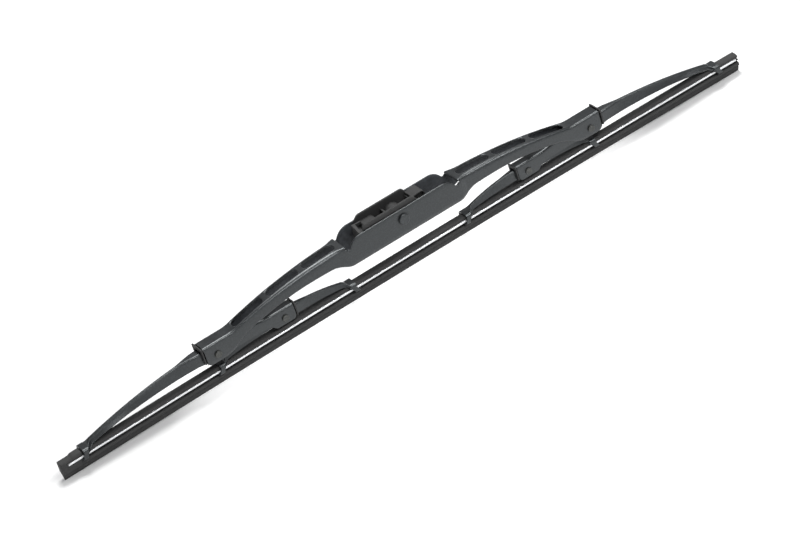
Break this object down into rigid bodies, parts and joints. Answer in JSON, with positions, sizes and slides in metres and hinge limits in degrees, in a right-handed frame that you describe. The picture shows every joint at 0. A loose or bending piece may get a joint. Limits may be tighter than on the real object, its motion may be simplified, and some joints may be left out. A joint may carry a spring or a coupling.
{
  "type": "wiper blade",
  "caption": "Framed windscreen wiper blade: slotted arched bridge, pivoting yokes with claws, a rubber strip with steel rails and a hook adapter at the middle.",
  "frame": {"origin": "axis of the centre pin at the middle of the blade, where the arm's hook sits on the adapter's barrel", "axes": "+X along the blade from the stop lump's end to the other end, +Y across the blade away from the camera, +Z away from the glass"},
  "size_m": [0.457, 0.0186, 0.0457],
  "materials": {
    "adapter_plastic": "black moulded plastic, slightly satin",
    "painted_steel": "dark charcoal powder paint, satin",
    "rivet_steel": "dark grey painted steel, flat faces slightly brighter at the edge",
    "liner_plastic": "black plastic",
    "strip_rubber": "dark grey rubber, matt",
    "rail_steel": "bright bare spring steel"
  },
  "bodies": {
    "adapter": {"adapter": "adapter_plastic"},
    "bridge": {"bridge": "painted_steel", "center_rivet": "rivet_steel", "bridge_rivet_left": "rivet_steel", "bridge_rivet_right": "rivet_steel", "liner_left": "liner_plastic", "liner_right": "liner_plastic", "wiper_rubber": "strip_rubber", "rail_front": "rail_steel", "rail_rear": "rail_steel"},
    "yoke_left": {"outer_yoke_left": "painted_steel", "inner_rivet_left": "rivet_steel", "inner_liner_left": "liner_plastic"},
    "yoke_right": {"outer_yoke_right": "painted_steel", "inner_rivet_right": "rivet_steel", "inner_liner_right": "liner_plastic"},
    "inner_yoke_left": {"inner_yoke_left": "painted_steel"},
    "inner_yoke_right": {"inner_yoke_right": "painted_steel"}
  },
  "joints": [
    {"name": "bridge_pivot", "type": "hinge", "parent": "adapter", "child": "bridge", "pos_m": [0, 0, 0], "axis": [0, 1, 0], "range_deg": [-25, 25]},
    {"name": "yoke_left_pivot", "type": "hinge", "parent": "bridge", "child": "yoke_left", "pos_m": [-0.1255, 0, -0.0148], "axis": [0, 1, 0], "range_deg": [-5, 5], "stiffness_Nm_per_rad": 1, "deforming": ["wiper_rubber", "rail_front", "rail_rear"]},
    {"name": "yoke_right_pivot", "type": "hinge", "parent": "bridge", "child": "yoke_right", "pos_m": [0.1255, 0, -0.0148], "axis": [0, 1, 0], "range_deg": [-5, 5], "stiffness_Nm_per_rad": 1, "deforming": ["wiper_rubber", "rail_front", "rail_rear"]},
    {"name": "inner_yoke_left_pivot", "type": "hinge", "parent": "yoke_left", "child": "inner_yoke_left", "pos_m": [-0.082, 0, -0.0185], "axis": [0, 1, 0], "range_deg": [-3.5, 3.5], "stiffness_Nm_per_rad": 0.3, "deforming": ["wiper_rubber", "rail_front", "rail_rear"]},
    {"name": "inner_yoke_right_pivot", "type": "hinge", "parent": "yoke_right", "child": "inner_yoke_right", "pos_m": [0.082, 0, -0.0185], "axis": [0, 1, 0], "range_deg": [-3.5, 3.5], "stiffness_Nm_per_rad": 0.3, "deforming": ["wiper_rubber", "rail_front", "rail_rear"]}
  ]
}
